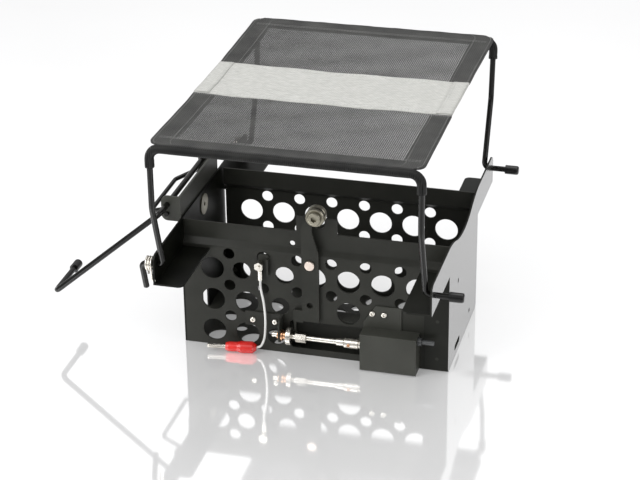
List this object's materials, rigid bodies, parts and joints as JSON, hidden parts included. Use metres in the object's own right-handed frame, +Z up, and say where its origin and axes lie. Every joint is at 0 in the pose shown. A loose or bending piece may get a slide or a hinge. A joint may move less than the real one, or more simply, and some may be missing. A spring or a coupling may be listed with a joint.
{
  "type": "remote release bird launcher",
  "caption": "Perforated black sheet box with two sprung wire hoops, a mesh sling between them, a hold-down arm, a latch lever, a solenoid release rod and a safety pin on a cable",
  "frame": {"origin": "Centre of the box's floor, on the ground", "axes": "+Z up, -Y towards the release mechanism's side, +X towards the actuator's end"},
  "size_m": [0.4778, 0.3965, 0.2861],
  "materials": {
    "black_coat": "satin black powder coat on folded steel sheet",
    "dark_wire": "black coated round steel wire, smooth",
    "bright_steel": "zinc plated steel, turned and drawn",
    "roller_steel": "worn turned steel",
    "pin_steel": "bare turned steel",
    "copper": "turned bronze bush and set screw",
    "black_rubber": "moulded vinyl end cap",
    "sling_mesh": "open woven coated mesh, hemmed",
    "sling_band": "pale grey woven band, stitched",
    "cable": "plastic covered wire cable",
    "red_grip": "moulded plastic grip",
    "coil": "wound coil in its yoke",
    "grey_lead": "moulded lead boot"
  },
  "bodies": {
    "frame": {"front_panel": "black_coat", "back_panel": "black_coat", "floor_panel": "black_coat", "left_side_wall": "black_coat", "right_side_wall": "black_coat", "corner_rivets": "black_coat", "arm_bracket": "black_coat", "bracket_screws": "black_coat", "bracket_washer": "roller_steel", "front_torsion_spring": "bright_steel", "back_torsion_spring": "bright_steel", "lever_pivot_pin": "pin_steel", "return_spring": "bright_steel", "guide_bracket": "black_coat", "guide_bush": "copper", "guide_screws": "bright_steel", "actuator_cover": "black_coat", "cover_screws": "bright_steel", "solenoid": "coil", "lead_connector": "grey_lead", "rod_shield": "black_coat", "lanyard_clip": "black_coat", "lanyard_bolt": "bright_steel", "lanyard_crimp": "bright_steel", "lanyard_cable": "cable", "pin_handle": "red_grip", "safety_pin": "bright_steel"},
    "front_hoop": {"front_hoop_wire": "dark_wire", "front_hoop_cap": "black_rubber"},
    "back_hoop": {"back_hoop_wire": "dark_wire", "back_hoop_cap": "black_rubber"},
    "front_sling": {"front_sling_mesh": "sling_mesh"},
    "back_sling": {"back_sling_mesh": "sling_mesh"},
    "sling_centre": {"sling_strap": "sling_band"},
    "hold_down_arm": {"hold_down_wire": "dark_wire", "arm_cap": "black_rubber", "arm_retainer": "bright_steel"},
    "carry_handle": {"carry_handle_wire": "dark_wire"},
    "release_lever": {"release_lever_bar": "black_coat", "latch_roller": "roller_steel", "roller_screw": "roller_steel"},
    "push_rod": {"push_rod_bar": "bright_steel", "stop_disc": "bright_steel", "rod_nut": "bright_steel", "rod_coupling": "bright_steel", "coupling_screw": "copper", "plunger": "bright_steel"}
  },
  "joints": [
    {"name": "front_hoop_swing", "type": "hinge", "parent": "frame", "child": "front_hoop", "pos_m": [0, -0.1605, 0.137], "axis": [-1, 0, 0], "range_deg": [0, 95], "stiffness_Nm_per_rad": 1.2, "springref_deg": -28.65, "deforming": ["front_torsion_spring"]},
    {"name": "back_hoop_swing", "type": "hinge", "parent": "frame", "child": "back_hoop", "pos_m": [0, 0.1605, 0.137], "axis": [1, 0, 0], "range_deg": [0, 101.6], "stiffness_Nm_per_rad": 1.2, "springref_deg": -28.65, "deforming": ["back_torsion_spring"]},
    {"name": "front_sling_turn", "type": "hinge", "parent": "front_hoop", "child": "front_sling", "pos_m": [0, -0.18522, 0.28108], "axis": [-1, 0, 0], "range_deg": [0, 9.62], "deforming": ["front_sling_mesh"]},
    {"name": "back_sling_turn", "type": "hinge", "parent": "back_hoop", "child": "back_sling", "pos_m": [0, 0.20137, 0.27736], "axis": [1, 0, 0], "range_deg": [0, 2.6], "deforming": ["back_sling_mesh"]},
    {"name": "sling_drop", "type": "slide", "parent": "frame", "child": "sling_centre", "axis": [0, -0.0365, -0.9993], "range_m": [0, 0.2775], "deforming": ["sling_strap"]},
    {"name": "arm_swing", "type": "hinge", "parent": "frame", "child": "hold_down_arm", "pos_m": [-0.164, 0, 0.164], "axis": [0, 1, 0], "range_deg": [0, 223]},
    {"name": "handle_swing", "type": "hinge", "parent": "frame", "child": "carry_handle", "pos_m": [-0.1645, 0, 0.1535], "axis": [0, 1, 0], "range_deg": [-60, 60]},
    {"name": "push_rod_slide", "type": "slide", "parent": "frame", "child": "push_rod", "axis": [1, 0, 0], "range_m": [0, 0.01], "stiffness_N_per_m": 400, "springref_m": -0.004, "deforming": ["return_spring"]},
    {"name": "lever_turn", "type": "hinge", "parent": "frame", "child": "release_lever", "pos_m": [-0.0032, -0.0795, 0.113], "axis": [0, -1, 0], "range_deg": [0, 6.7]}
  ],
  "couplings": [
    {"joint": "back_hoop_swing", "follows": "front_hoop_swing", "ratio": 1.0684},
    {"joint": "front_sling_turn", "follows": "front_hoop_swing", "ratio": 0.10099},
    {"joint": "back_sling_turn", "follows": "front_hoop_swing", "ratio": 0.02722},
    {"joint": "sling_drop", "follows": "front_hoop_swing", "m_per_rad": 0.16723},
    {"joint": "lever_turn", "follows": "push_rod_slide", "rad_per_m": 11.63}
  ]
}
